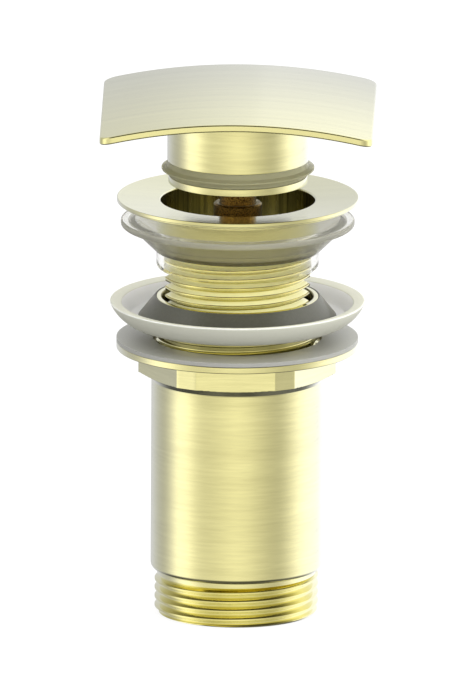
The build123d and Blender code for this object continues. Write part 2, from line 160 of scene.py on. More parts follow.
# Radius of a thread's wall at an angle and height, and of its root; a groove's middle has phase 0
def threadRadius(thread, angles, heights):
    phase = (heights - thread["rootHeight"]) / pitch - angles / tau
    phase = np.abs((phase + 0.5) % 1 - 0.5)
    soft = threadSize["softShare"]
    wall = sum(np.maximum(0, phase + shift - threadSize["rootShare"]) for shift in (-soft, 0, soft)) / 3
    root = thread["crest"] - threadSize["depth"]
    return root + wall * pitch / math.tan(math.radians(threadSize["flankAngle"])), root


# Full thread with a bevel at its lower end
def bevelledThread(thread, angles, heights):
    wall, root = threadRadius(thread, angles, heights)
    end = thread["crest"] - thread["endBevel"] + heights - thread["bottom"]
    return np.minimum(np.minimum(wall, thread["crest"]), np.maximum(end, root))


# Thread with shallow grooves
def shallowThread(thread, angles, heights):
    wall = threadRadius(thread, angles, heights)[0]
    return np.clip(wall, thread["crest"] - thread["groove"], thread["crest"])


# Rows that climb with the helix, held between the thread's two ends
def threadRows(thread, shape):
    low, high = thread["bottom"], thread["top"]
    firstTurn = math.floor((low - thread["rootHeight"]) / pitch) - 2
    turns = math.ceil((high - low) / pitch) + 4
    rows = []
    for turn in range(firstTurn, firstTurn + turns):
        for phase in threadPhases:
            start = thread["rootHeight"] + (turn + phase) * pitch
            if not low - pitch <= start <= high:
                continue
            heights = np.clip(start + pitch * around / tau, low, high)
            rows.append(rowAt(around, shape(thread, around, heights), heights))
    return rows


# How far a face's normal points outward in the bore, and upward on a level face
facesIn = -0.5
facesUp = 0.9


# Gives faces another finish by their radius, height and how far they face outward and up
def paint(piece, material, test):
    piece.data.materials.append(material)
    slot = len(piece.data.materials) - 1
    for face in piece.data.polygons:
        centre = face.center / mm
        radius = math.hypot(centre.x, centre.y)
        outward = (face.normal.x * centre.x + face.normal.y * centre.y) / radius
        if test(radius, centre.z, outward, face.normal.z):
            face.material_index = slot


# Painted light and shade on a thread: pale painted light on its upper flanks, painted shade on its crests and
# deep in its roots, with a broken dark line of painted shade above each crest
def paintThread(piece, crest, low, high):
    edge, tilt = crest - threadSize["edgeLine"], 0.3

    def shows(z, outward):
        return low < z < high and outward > 0.2

    paint(piece, goldCrestPaintedShade, lambda r, z, outward, up: shows(z, outward) and abs(up) < tilt)
    paint(piece, goldRootPaintedShade, lambda r, z, outward, up: shows(z, outward) and up < tilt and r < edge)
    paint(piece, goldFlankPaintedLight, lambda r, z, outward, up: shows(z, outward) and up > tilt and r < edge)
    paint(piece, threadShade, lambda r, z, outward, up: shows(z, outward) and up > tilt and r > edge)


# A piece rides on its body, takes its finish and stands for its nodes
def place(piece, material, body, slot, *nodes):
    piece.data.materials.clear()
    piece.data.materials.append(material)
    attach(piece, body)
    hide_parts(*nodes)
    return piece


# Materials


# An input gets a value, or the output that feeds it
def feed(tree, socket, value):
    if isinstance(value, bpy.types.NodeSocket):
        tree.links.new(value, socket)
    elif socket.type == "RGBA":
        socket.default_value = (*value, 1)
    else:
        socket.default_value = value


# A node with its first inputs in order, and other inputs and settings by name
def addNode(tree, kind, *inputs, **values):
    node = tree.nodes.new(kind)
    for key, value in values.items():
        if key in node.inputs:
            feed(tree, node.inputs[key], value)
        else:
            setattr(node, key, value)
    for socket, value in zip(node.inputs, inputs):
        feed(tree, socket, value)
    return node


# The output of a node that calculates
def addMath(tree, operation, *inputs, **values):
    return addNode(tree, "ShaderNodeMath", *inputs, operation=operation, **values).outputs[0]


# The output of a node that maps one range to another
def addRange(tree, value, before, after, **values):
    node = addNode(tree, "ShaderNodeMapRange", Value=value, **values)
    for key, limit in zip(("From Min", "From Max", "To Min", "To Max"), (*before, *after)):
        node.inputs[key].default_value = limit
    return node.outputs["Result"]


# The output of a node that mixes two colours
def mixColours(tree, share, first, second, **values):
    node = addNode(tree, "ShaderNodeMix", data_type="RGBA", Factor=share, A=first, B=second, **values)
    return node.outputs["Result"]


# The output of a node that mixes two values
def mixValues(tree, share, first, second):
    node = addNode(tree, "ShaderNodeMix", data_type="FLOAT", Factor=share, A=first, B=second)
    return node.outputs["Result"]


# A shader group for a pattern, what it is given, and the place on the object
def patternGroup(name, scaleKind):
    tree = bpy.data.node_groups.new(name, "ShaderNodeTree")
    tree.interface.new_socket("Scale", in_out="INPUT", socket_type=scaleKind)
    tree.interface.new_socket("Contrast", in_out="INPUT", socket_type="NodeSocketFloat")
    tree.interface.new_socket("Bump", in_out="INPUT", socket_type="NodeSocketFloat")
    tree.interface.new_socket("Mask", in_out="OUTPUT", socket_type="NodeSocketFloat")
    tree.interface.new_socket("Normal", in_out="OUTPUT", socket_type="NodeSocketVector")
    given = tree.nodes.new("NodeGroupInput").outputs
    return tree, given, tree.nodes.new("ShaderNodeTexCoord").outputs["Object"]


# Contrast widens the noise about its middle; the mask and a bump come from that
def endPattern(tree, given, noise, depth):
    centred = addMath(tree, "SUBTRACT", noise, 0.5)
    scaled = addMath(tree, "MULTIPLY", centred, given["Contrast"])
    mask = addMath(tree, "ADD", scaled, 0.5, use_clamp=True)
    bump = addNode(tree, "ShaderNodeBump", Distance=depth, Height=mask, Strength=given["Bump"])
    addNode(tree, "NodeGroupOutput", Mask=mask, Normal=bump.outputs["Normal"])


# Group of long, thin marks that a brush leaves; Scale is marks per metre on each axis
def brushMarks():
    tree, given, position = patternGroup("brushMarks", "NodeSocketVector")
    spot = addNode(tree, "ShaderNodeVectorMath", position, given["Scale"], operation="MULTIPLY").outputs[0]
    fine = addNode(tree, "ShaderNodeTexNoise", Vector=spot, Scale=1.0, Detail=2.0, Roughness=0.6)
    broad = addNode(tree, "ShaderNodeTexNoise", Vector=spot, Scale=0.22, Detail=1.0, Roughness=0.5)
    noise = mixValues(tree, 0.45, fine.outputs["Fac"], broad.outputs["Fac"])
    endPattern(tree, given, noise, 0.03 * mm)
    return tree


# Group of fine, even grain; Scale is grains per metre
def fineGrain():
    tree, given, position = patternGroup("fineGrain", "NodeSocketFloat")
    noise = addNode(
        tree, "ShaderNodeTexNoise", Vector=position, Scale=given["Scale"], Detail=3.0, Roughness=0.6
    )
    endPattern(tree, given, noise.outputs["Fac"], 0.05 * mm)
    return tree


brushGroup = brushMarks()
grainGroup = fineGrain()


# Colour and roughness both run between two values with the group's mask
def patternedMaterial(name, group, scale, settings, contrast, bump, dark, light, roughness):
    material = bpy.data.materials.new(name)
    material.use_nodes = True
    tree = material.node_tree
    shader = tree.nodes["Principled BSDF"]
    pattern = addNode(
        tree, "ShaderNodeGroup", node_tree=group, Scale=scale, Contrast=contrast, Bump=bump
    ).outputs
    feed(tree, shader.inputs["Base Color"], mixColours(tree, pattern["Mask"], dark, light))
    feed(tree, shader.inputs["Roughness"], addRange(tree, pattern["Mask"], (0, 1), roughness))
    feed(tree, shader.inputs["Normal"], pattern["Normal"])
    for key, value in settings.items():
        shader.inputs[key].default_value = value
    material.diffuse_color = (*light, 1)
    return material


# Painted sheen: the base colour pales where the metal is seen edge on, and its marks still show there
def paintEdgeSheen(material, sheenTone, power, gain, marks):
    tree = material.node_tree
    colour = tree.nodes["Principled BSDF"].inputs["Base Color"]
    mask = next(node for node in tree.nodes if node.type == "GROUP").outputs["Mask"]
    edge = addNode(tree, "ShaderNodeLayerWeight", Blend=0.5).outputs["Facing"]
    amount = addMath(tree, "MULTIPLY", addMath(tree, "POWER", edge, power), gain, use_clamp=True)
    blend = mixColours(tree, amount, colour.links[0].from_socket, sheenTone, name="sheenTone")
    shade = mixColours(tree, mask, [1 - marks] * 3, (1, 1, 1))
    feed(tree, colour, mixColours(tree, 1, blend, shade, blend_type="MULTIPLY"))


# Dark and light tone of the gold, and of its copies with painted reflection, light and shade for the threads
goldTones = {
    "plain": ((0.8, 0.73, 0.3), (0.9, 0.83, 0.36)),
    "paintedReflection": ((0.76, 0.67, 0.2), (0.88, 0.8, 0.3)),  # painted reflection: deeper in the threads, where the gold would reflect itself
    "flankPaintedLight": ((0.98, 0.93, 0.38), (1.0, 0.97, 0.45)),  # painted light: pale on the upper flanks of the shank's thread
    # painted shade: darker tones on the crests and in the roots of the shank's thread
    "crest": ((0.71, 0.62, 0.17), (0.83, 0.74, 0.25)),
    "root": ((0.48, 0.4, 0.07), (0.61, 0.52, 0.12)),
}
# Painted sheen: what the gold's colour pales to where it is seen edge on
goldSheenTone = {
    "tube": (0.92, 0.93, 0.76),
    "top": (0.73, 0.73, 0.43),
    "cut": (0.92, 0.9, 0.62),
    "root": (0.8, 0.76, 0.42),
}
goldLook = {
    "tones": "plain",
    "contrast": 2.0,
    "bump": 0.06,
    "roughness": (0.2, 0.16),
    "metallic": 1.0,
    "coat": 1.0,
    "power": 1.6,
    "gain": 1.5,
    "marks": 0.12,  # how much the marks darken the painted sheen at the edge
}


# The scale is marks per metre on each axis, and changes are set over goldLook
def goldMaterial(name, scale, sheenTone, **changes):
    look = {**goldLook, **changes}
    dark, light = goldTones[look["tones"]]
    coat = {"Coat Weight": look["coat"], "Coat Roughness": 0.1, "Coat IOR": 1.5}
    settings = {"Metallic": look["metallic"], **coat}
    pattern = (look["contrast"], look["bump"], dark, light, look["roughness"])
    material = patternedMaterial(name, brushGroup, scale, settings, *pattern)
    paintEdgeSheen(material, goldSheenTone[sheenTone], look["power"], look["gain"], look["marks"])
    return material


turnedMarks = (100, 100, 1300)
flatMarks = (12, 560, 12)
coverMarks = (7, 900, 7)
threadMarks = (150, 150, 260)
# looks of the threads' copies of the gold with painted reflection, shade and light
cutLook = {"bump": 0.6, "coat": 0.3, "marks": 0.06, "roughness": (0.1, 0.06)}
crestLook = {"bump": 0.6, "coat": 0.3, "marks": 0.06}
rootLook = {"bump": 0.6, "coat": 0.1, "marks": 0.06}
flankLook = {"metallic": 0.0, "coat": 0.3, "marks": 0.02}
goldTurned = goldMaterial("brushed_gold_turned", turnedMarks, "tube")
goldFlat = goldMaterial("brushed_gold_flat", flatMarks, "top", marks=0.08)
goldCutPaintedReflection = goldMaterial("brushed_gold_cut_painted_reflection", threadMarks, "cut", tones="paintedReflection", **cutLook)
goldFlankPaintedLight = goldMaterial("brushed_gold_flank_painted_light", threadMarks, "cut", tones="flankPaintedLight", **flankLook)
goldCrestPaintedShade = goldMaterial("brushed_gold_crest_painted_shade", threadMarks, "cut", tones="crest", **crestLook)
goldRootPaintedShade = goldMaterial("brushed_gold_root_painted_shade", threadMarks, "root", tones="root", **rootLook)

# painted shade: the cover's edge-on colour from the front to the back
coverShadeTone = {
    "front": (1.0, 0.97, 0.45),
    "backLeft": (0.78, 0.79, 0.61),
    "backRight": (0.4, 0.41, 0.32),
    "end": 0.034,  # metres from the cover's middle to where a tone is full
}


# Painted shade: the cover's top is duller and greyer towards the back, most of all at the right
def coverMaterial():
    material = goldMaterial("brushed_gold_cover_painted_shade", coverMarks, "top", contrast=2.6, bump=0.1, marks=0.16)
    tree = material.node_tree
    position = tree.nodes.new("ShaderNodeTexCoord").outputs["Object"]
    parts = addNode(tree, "ShaderNodeSeparateXYZ", position).outputs
    ends = (-coverShadeTone["end"], coverShadeTone["end"])
    rightward, backward = (addRange(tree, parts[axis], ends, (0, 1)) for axis in ("X", "Y"))
    back = mixColours(tree, rightward, coverShadeTone["backLeft"], coverShadeTone["backRight"])
    tone = mixColours(tree, backward, coverShadeTone["front"], back)
    feed(tree, tree.nodes["sheenTone"].inputs["B"], tone)
    return material


goldCoverPaintedShade = coverMaterial()

# painted shade: a dark gold for the hollows, slots and gaps where shade falls
metal = {"Metallic": 1.0}
boreGoldPaintedShade = patternedMaterial(
    "bore", brushGroup, (700, 700, 25), metal, contrast=3.4, bump=0.1,
    dark=(0.09, 0.08, 0.02), light=(0.48, 0.43, 0.15), roughness=(0.34, 0.24),
)
# painted shade: the dark line above each crest of the thread
threadShade = patternedMaterial(
    "thread_shade", brushGroup, (500, 500, 60), metal, contrast=4.0, bump=0.1,
    dark=(0.16, 0.13, 0.03), light=(0.7, 0.62, 0.2), roughness=(0.3, 0.2),
)
bronze = patternedMaterial(
    "bronze", grainGroup, 2600, metal, contrast=3.6, bump=0.8,
    dark=(0.11, 0.045, 0.005), light=(0.62, 0.36, 0.07), roughness=(0.45, 0.3),
)
# painted sheen: the bronze pales where it is seen edge on
paintEdgeSheen(bronze, sheenTone=(0.46, 0.42, 0.28), power=3.0, gain=1.9, marks=0.1)
castBrass = patternedMaterial(
    "cast_brass", grainGroup, 1200, metal, contrast=1.4, bump=0.25,
    dark=(0.4, 0.3, 0.1), light=(0.56, 0.45, 0.18), roughness=(0.42, 0.3),
)
steel = patternedMaterial(
    "steel", brushGroup, turnedMarks, metal, contrast=1.5, bump=0.05,
    dark=(0.4, 0.4, 0.39), light=(0.58, 0.58, 0.57), roughness=(0.34, 0.26),
)
acetal = patternedMaterial(
    "acetal", grainGroup, 700, {"IOR": 1.48}, contrast=0.8, bump=0.1,
    dark=(0.66, 0.66, 0.62), light=(0.74, 0.74, 0.7), roughness=(0.38, 0.3),
)
plasticLook = {"contrast": 0.8, "bump": 0.08, "roughness": (0.5, 0.44)}
deepWhite = {"IOR": 1.45, "Subsurface Weight": 1.0, "Subsurface Radius": (1, 1, 1), "Subsurface Scale": 0.006}
whitePlastic = patternedMaterial(
    "white_plastic", grainGroup, 900, deepWhite,
    dark=(0.94, 0.94, 0.91), light=(0.97, 0.97, 0.95), **plasticLook,
)
# painted shade: a darker copy of the white plastic for the cup's outer wall and rim
paintedShadePlastic = patternedMaterial(
    "white_plastic_outside_painted_shade", grainGroup, 900, {"IOR": 1.45},
    dark=(0.74, 0.74, 0.62), light=(0.79, 0.79, 0.67), **plasticLook,
)
greyWasher = patternedMaterial(
    "grey_washer", grainGroup, 1500, {"IOR": 1.5}, contrast=1.2, bump=0.12,
    dark=(0.375, 0.375, 0.34), light=(0.42, 0.42, 0.385), roughness=(0.36, 0.3),
)
greyRubber = patternedMaterial(
    "grey_rubber", grainGroup, 1400, {"IOR": 1.6}, contrast=1.3, bump=0.15,
    dark=(0.066, 0.066, 0.044), light=(0.09, 0.09, 0.066), roughness=(0.36, 0.3),
)
silicone = {"scale": 800, "contrast": 0.8, "bump": 0.0, "darkShare": 0.94, "roughSpread": 0.04}


# Silicone is milky outside, and clearer where the cup opens; its darker copies under the rim and at the foot
# are painted shade
def siliconeMaterial(name, tone, clearness, roughness, ior=1.2):
    settings = {"IOR": ior, "Transmission Weight": clearness}
    dark = tuple(level * silicone["darkShare"] for level in tone)
    rough = (roughness + silicone["roughSpread"], roughness)
    pattern = (silicone["contrast"], silicone["bump"], dark, tone, rough)
    return patternedMaterial(name, grainGroup, silicone["scale"], settings, *pattern)


siliconeClear = siliconeMaterial("clear_silicone_inside", (0.99, 0.985, 0.95), 0.92, 0.12)
siliconeSleeve = siliconeMaterial("clear_silicone_sleeve", (0.99, 0.99, 0.97), 0.98, 0.03, 1.12)
siliconeRim = siliconeMaterial("clear_silicone_rim", (0.66, 0.65, 0.55), 0.6, 0.2)
siliconeUnderShade = siliconeMaterial("clear_silicone_under_painted_shade", (0.46, 0.45, 0.365), 0.74, 0.2)
siliconeFootShadow = siliconeMaterial("clear_silicone_foot_painted_shadow", (0.175, 0.165, 0.12), 0.7, 0.2)
siliconeSeal = siliconeMaterial("clear_silicone_seal", (0.72, 0.7, 0.46), 0.5, 0.2)
print("materials made")


# Tail body: threaded tail, tube, seat flange and neck, with the hexagon on the tube

flatWasherHole = 43.4
tail = {
    "threadDia": 41.9,
    "threadTop": 10.3,
    "threadStart": 6.15,  # height of a groove's middle at angle 0
    "endBevel": 0.95,
    "boreDia": 36.0,
    "reliefDia": 40.7,
    "tubeDia": 44.0,
    "tubeBottom": 11.5,
    "tubeEdge": 1.35,
    "tubeBoreDia": 39.4,
    "flangeThickness": 1.75,
    "flangeEdge": 0.25,
    "neckDia": 41.6,
    "neckHeight": 11.8,
    "neckEdge": 0.2,
    "neckThreadLength": 9.0,
    "neckThreadStart": 73.6,
    "neckGroove": 0.65,
    "mouthDia": 38.8,
    "mouthDepth": 3.0,
    "mouthBevel": 0.25,
    "nutBoreDia": 38.0,
    "nutLength": 17.8,
}


def makeTail():
    flangeRadius, bottom, neckTop = reach("tail_body")
    seatTop = neckTop - tail["neckHeight"]
    seatBottom = seatTop - tail["flangeThickness"]
    neckThreadTop = seatTop + tail["neckThreadLength"]
    mouthBottom = neckTop - tail["mouthDepth"]
    nutBottom = mouthBottom - tail["nutLength"]
    relief, tube, neck = tail["reliefDia"] / 2, tail["tubeDia"] / 2, tail["neckDia"] / 2
    mouth, nut, tubeBore = tail["mouthDia"] / 2, tail["nutBoreDia"] / 2, tail["tubeBoreDia"] / 2
    boreStep = (tail["tubeBoreDia"] - tail["boreDia"]) / 2
    tailThread = {
        "crest": tail["threadDia"] / 2,
        "bottom": bottom,
        "top": tail["threadTop"],
        "rootHeight": tail["threadStart"],
        "endBevel": tail["endBevel"],
    }
    neckThread = {
        "crest": neck,
        "bottom": seatTop + hair,
        "top": neckThreadTop,
        "rootHeight": tail["neckThreadStart"],
        "groove": tail["neckGroove"],
    }
    outside = [
        (relief, tail["threadTop"]),
        (relief, tail["tubeBottom"]),
        (tube, tail["tubeBottom"], tail["tubeEdge"]),
        (tube, seatBottom),
        (flangeRadius, seatBottom, tail["flangeEdge"]),
        (flangeRadius, seatTop, tail["flangeEdge"]),
        (flatWasherHole / 2, seatTop),
        (neck, seatTop),
    ]
    inside = [
        (neck, neckThreadTop + hair),
        (neck, neckTop, tail["neckEdge"]),
        (mouth + tail["mouthBevel"], neckTop),
        (mouth, neckTop - tail["mouthBevel"]),
        (mouth, mouthBottom),
        (nut, mouthBottom),
        (nut, nutBottom),
        (tubeBore, nutBottom),
        (tubeBore, tail["tubeBottom"] + boreStep),
        (tail["boreDia"] / 2, tail["tubeBottom"]),
        (tail["boreDia"] / 2, bottom),
    ]
    rows = threadRows(tailThread, bevelledThread) + turnedRows(rounded(outside))
    rows += threadRows(neckThread, shallowThread) + turnedRows(rounded(inside))
    body = place(meshFromRows("tail_tube", rows), goldTurned, "tail", "brushed_gold", "tail_body")
    margin = 0.1
    insideNeck, belowMouth = mouth + margin, neckTop - margin

    def threaded(r, z, outward, up):
        return outward > facesIn and (z < tail["threadTop"] or z > seatTop)

    # painted shade in the bore and inside the neck's mouth
    def hollow(r, z, outward, up):
        return outward < facesIn or (seatTop < z < belowMouth and r < insideNeck)

    # painted shadow on the seat flange in the gap between the neck and the flat washer's hole
    def shadowUnderWasher(r, z, outward, up):
        return up > facesUp and abs(z - seatTop) < hair and r < flatWasherHole / 2

    # painted reflection: the threads are a deeper gold
    paint(body, goldCutPaintedReflection, threaded)
    paint(body, boreGoldPaintedShade, hollow)
    paint(body, boreGoldPaintedShade, shadowUnderWasher)


hexagon = {
    "bottom": 62.7,
    "height": 6.55,
    "acrossFlats": 46.7,
    "acrossCuts": 50.6,
    "cornerRise": 0.45,
    "cornerPast": 0.15,  # how far the turned underside goes past the cut corners
    "foot": 1.45,
    "hollow": ((0.02, -0.3), (0.06, 0.0), (0.2, 0.2)),  # past the tube's radius, above the foot
    "sunk": 0.1,  # how far it reaches into the tube's wall
    "edgeTurn": 0.004,  # angle from each edge to the points beside it
    "sharpAngle": 20,
}
sixth = math.radians(60)


# Radius of the hexagon at each angle, with its corners cut off by a wider hexagon
def hexRadius(angles):
    flat, cut = hexagon["acrossFlats"] / 2, hexagon["acrossCuts"] / 2
    fromFlat = np.abs((angles - math.radians(270) + sixth / 2) % sixth - sixth / 2)
    return np.minimum(flat / np.cos(fromFlat), cut / np.cos(sixth / 2 - fromFlat))


# Angles of its points, closer together beside the edges
def hexAngles():
    flat, cut, edge = hexagon["acrossFlats"] / 2, hexagon["acrossCuts"] / 2, hexagon["edgeTurn"]
    halfFlat = (cut - flat * math.cos(sixth / 2)) / math.sin(sixth / 2)
    turn = math.atan2(halfFlat, flat)
    angles = []
    for side in range(6):
        middle, corner = math.radians(60 * side + 270), math.radians(60 * side + 300)
        angles += [middle + sign * turn + step for sign in (-1, 1) for step in (-edge, edge)]
        angles += [middle + turn * k / 6 for k in range(-5, 6)]
        angles += [corner + (sixth / 2 - turn) * k / 3 for k in range(-2, 3)]
    angles = np.array(sorted(angle % tau for angle in angles))
    return np.append(angles, angles[0] + tau)


# The underside is turned: it rises to the corners, and runs down to the tube in a hollow
def makeHexagon():
    flat, cut, tube = hexagon["acrossFlats"] / 2, hexagon["acrossCuts"] / 2, tail["tubeDia"] / 2
    bottom, top = hexagon["bottom"], hexagon["bottom"] + hexagon["height"]
    foot, inner, rise = bottom - hexagon["foot"], tube - hexagon["sunk"], hexagon["cornerRise"]
    run, steps = cut + hexagon["cornerPast"] - flat, 12
    wide = 2 * cut  # past the corners, so the hexagon itself is the limit
    outline = [(inner, foot + hexagon["hollow"][0][1])]
    outline += [(tube + past, foot + above) for past, above in hexagon["hollow"]]
    outline += [(flat + run * k / steps, bottom + rise * k / steps) for k in range(steps + 1)]
    outline += [(wide, bottom + rise + 2 * hair), (wide, top), (inner, top)]
    angles = hexAngles()
    rows = [rowAt(angles, np.minimum(limit, hexRadius(angles)), z) for limit, z in outline]
    mesh = meshFromRows("tail_hexagon", rows, hexagon["sharpAngle"])
    place(mesh, goldTurned, "tail", "brushed_gold", "tail_body")


makeTail()
makeHexagon()
print("tail made")


# Rings that seal under the basin

washerEdge = 0.08


def makeFlatWasher():
    radius, bottom, top = reach("flat_washer")
    hole, edge = flatWasherHole / 2, washerEdge
    corners = [(hole, bottom), (radius, bottom, edge), (radius, top, edge), (hole, top, edge)]
    place(turnedPiece("flat_washer_ring", corners), greyWasher, "tail", "grey_washer", "flat_washer")


cup = {
    "hole": 42.2,
    "footDia": 47.4,
    "floorThickness": 2.1,
    "floorDia": 55.4,
    "floorRound": 0.6,
    "mouthDia": 59.6,
    "rimDrop": 0.6,
    "edge": 0.35,
    "rimBand": 1.2,  # depth below the top where the rim has the outside's painted shade
}


def makeCup():
    radius, bottom, top = reach("cup_washer")
    foot, hole, floor = cup["footDia"] / 2, cup["hole"] / 2, bottom + cup["floorThickness"]
    # the wall is an arc that leaves the foot level and ends at the rim
    width, height = radius - foot, top - bottom
    arc = (width**2 + height**2) / (2 * height)
    sweep, steps = math.asin(min(1, width / arc)), 16
    bends = [sweep * k / steps for k in range(steps)]
    wall = [(foot + arc * math.sin(bend), bottom + arc * (1 - math.cos(bend))) for bend in bends]
    inside = [
        (radius, top, cup["edge"]),
        (cup["mouthDia"] / 2, top - cup["rimDrop"], cup["edge"]),
        (cup["floorDia"] / 2, floor, cup["floorRound"]),
        (hole, floor),
        (hole, bottom),
    ]
    mesh = turnedPiece("cup_bowl", wall + inside)
    bowl = place(mesh, whitePlastic, "washers", "white_plastic", "cup_washer")

    # painted shade on the outer wall and on the rim's top
    def outerSide(r, z, outward, up):
        return (up < 0.2 and outward > -0.1) or (up > 0.5 and z > top - cup["rimBand"])

    paint(bowl, paintedShadePlastic, outerSide)


cone = {"holeDia": 41.8, "footDia": 51.0, "topDia": 42.3, "edge": 0.08}


def makeCone():
    bottom, top = reach("cone_seal")[1:]
    hole, edge = cone["holeDia"] / 2, cone["edge"]
    low, high = (cone["footDia"] / 2, bottom, edge), (cone["topDia"] / 2, top, edge)
    corners = [(hole, bottom), low, high, (hole, top)]
    place(turnedPiece("cone_ring", corners), greyRubber, "washers", "grey_rubber", "cone_seal")


makeFlatWasher()
makeCup()
makeCone()
print("lower rings made")


# Flange body

flangeBody = {
    "threadDia": 37.9,
    "threadStart": 88.15,  # height of a groove's middle at angle 0
    "boreDia": 31.6,
    "endBevel": 0.9,
    "endPlain": 1,  # height of the shank's end without the thread's paint
    "shoulderDia": 41.7,
    "shoulderFoot": 95.2,
    "shoulderRound": 0.8,
    "rimThickness": 1.05,
    "rimEdge": 0.2,
    "stepDia": 60.4,
    "stepHeight": 0.5,
    "stepRound": 0.15,
    "dish": 0.7,
    "holeDia": 39.5,
    "holeDepth": 7.8,
    "holeEdge": 0.45,
    "shadeDrop": 0.3,  # the hole has painted shade from this far below the dish
    "coneHeight": 7.5,
    "seatDia": 33.0,
    "seatRound": 1.5,
    "ledge": 82.0,
    "slotWidth": 8.0,
    "slotBottom": 70.0,
    "slotTop": 89.2,
    "slotCorner": 1.0,
}


# A slot in each side of the shank lets the basin's overflow in
def cutSlots(body):
    half, corner, past = flangeBody["slotWidth"] / 2, flangeBody["slotCorner"], flangeBody["shoulderDia"]
    low, high = flangeBody["slotBottom"], flangeBody["slotTop"]
    corners = ((-half, low), (half, low), (half, high), (-half, high))
    outline = rounded([(y, z, corner) for y, z in corners])
    count = len(outline)
    points = [(x * mm, y * mm, z * mm) for x in (-past, past) for y, z in outline]
    faces = [(k, (k + 1) % count, count + (k + 1) % count, count + k) for k in range(count)]
    faces += [tuple(range(count)), tuple(range(count, 2 * count))]
    mesh = bpy.data.meshes.new("slot_cutter")
    mesh.from_pydata(points, [], faces)
    cutter = finishMesh("slot_cutter", mesh)
    cut = body.modifiers.new("slots", "BOOLEAN")
    cut.object = cutter
    cut.operation = "DIFFERENCE"
    cut.solver = "EXACT"
    with bpy.context.temp_override(object=body, active_object=body):
        bpy.ops.object.modifier_apply(modifier="slots")
    bpy.data.objects.remove(cutter)
    bpy.data.meshes.remove(mesh)
    body.data.set_sharp_from_angle(angle=math.radians(smoothAngle))


def makeFlangeBody():
    radius, bottom, top = reach("flange_body")
    under, dishTop = top - flangeBody["rimThickness"], top - flangeBody["dish"]
    stepBottom, coneTop = under - flangeBody["stepHeight"], dishTop - flangeBody["holeDepth"]
    step, hole, seat = flangeBody["stepDia"] / 2, flangeBody["holeDia"] / 2, flangeBody["seatDia"] / 2
    shoulder, shoulderFoot = flangeBody["shoulderDia"] / 2, flangeBody["shoulderFoot"]
    thread = {
        "crest": flangeBody["threadDia"] / 2,
        "bottom": bottom,
        "top": shoulderFoot - hair,
        "rootHeight": flangeBody["threadStart"],
        "endBevel": flangeBody["endBevel"],
    }
    outside = [
        (shoulder, shoulderFoot),
        (shoulder, stepBottom, flangeBody["shoulderRound"]),
        (step, stepBottom, flangeBody["stepRound"]),
        (step, under),
        (radius, under, flangeBody["rimEdge"]),
        (radius, top, flangeBody["rimEdge"]),
        (hole, dishTop, flangeBody["holeEdge"]),
        (hole, coneTop),
        (seat, coneTop - flangeBody["coneHeight"], flangeBody["seatRound"]),
        (seat, flangeBody["ledge"]),
        (flangeBody["boreDia"] / 2, flangeBody["ledge"]),
        (flangeBody["boreDia"] / 2, bottom),
    ]
    rows = threadRows(thread, bevelledThread) + turnedRows(rounded(outside))
    body = meshFromRows("flange_and_shank", rows)
    cutSlots(body)
    place(body, goldTurned, "waste_body", "brushed_gold", "flange_body")
    slotTop, holeTop = flangeBody["slotTop"], dishTop - flangeBody["shadeDrop"]
    paint(body, goldFlat, lambda r, z, outward, up: up > facesUp and z > under)
    # painted reflection: the shank below the shoulder is a deeper gold, and its thread has painted light and
    # shade
    paint(body, goldCutPaintedReflection, lambda r, z, outward, up: outward > facesIn and z < shoulderFoot)
    paintThread(body, thread["crest"], bottom + flangeBody["endPlain"], thread["top"])
    # painted shade in the hole, on the slots' walls and on the seat below the cone
    paint(body, boreGoldPaintedShade, lambda r, z, outward, up: outward < -0.3 and z < holeTop)
    paint(body, boreGoldPaintedShade, lambda r, z, outward, up: facesIn < outward < -0.1 and z <= slotTop)
    paint(body, boreGoldPaintedShade, lambda r, z, outward, up: up > 0.5 and z < coneTop and r < seat)


makeFlangeBody()

gasket = {
    "boreDia": 41.9,
    "sleeveDia": 42.7,
    "sleeveHeight": 2.8,
    "throatDia": 55.2,
    "throatRound": 1.2,
    "rimHeight": 1.6,
    "rimRound": 0.6,
    "mouthDia": 52.4,
    "mouthRound": 0.7,
    "floorRound": 0.6,
    "footEdge": 0.15,
    "footShare": 0.2,  # how much of the slope has the darker painted shadow
    "footHeight": 1.2,  # the faces with painted shadow have their middle below this
    "sleeveFoot": 90.4,
    "sleeveRound": 1.2,
    "sleeveGap": 0.03,
}


def makeGasket():
    radius, bottom, top = reach("flange_gasket")
    bore, sleeve, throat = gasket["boreDia"] / 2, gasket["sleeveDia"] / 2, gasket["throatDia"] / 2
    rimBottom, floor, dark = top - gasket["rimHeight"], bottom + gasket["sleeveHeight"], gasket["footShare"]
    corners = [
        (bore, bottom),
        (sleeve, bottom, gasket["footEdge"]),
        (sleeve + (throat - sleeve) * dark, bottom + (rimBottom - bottom) * dark),
        (throat, rimBottom, gasket["throatRound"]),
        (radius, rimBottom, gasket["rimRound"]),
        (radius, top, gasket["rimRound"]),
        (gasket["mouthDia"] / 2, top, gasket["mouthRound"]),
        (sleeve, floor, gasket["floorRound"]),
        (bore, floor),
    ]
    mesh = turnedPiece("gasket_cup", corners, 5)
    piece = place(mesh, siliconeClear, "gasket", "clear_silicone", "flange_gasket")

    def slope(outward, up):
        return up < 0.3 and outward > 0.05

    # painted shade on the slope under the rim, and a darker painted shadow at its foot
    footTop = bottom + gasket["footHeight"]
    paint(piece, siliconeRim, lambda r, z, outward, up: outward > 0.2 and z > rimBottom)
    paint(piece, siliconeUnderShade, lambda r, z, outward, up: slope(outward, up) and z < rimBottom)
    paint(piece, siliconeFootShadow, lambda r, z, outward, up: slope(outward, up) and z < footTop)


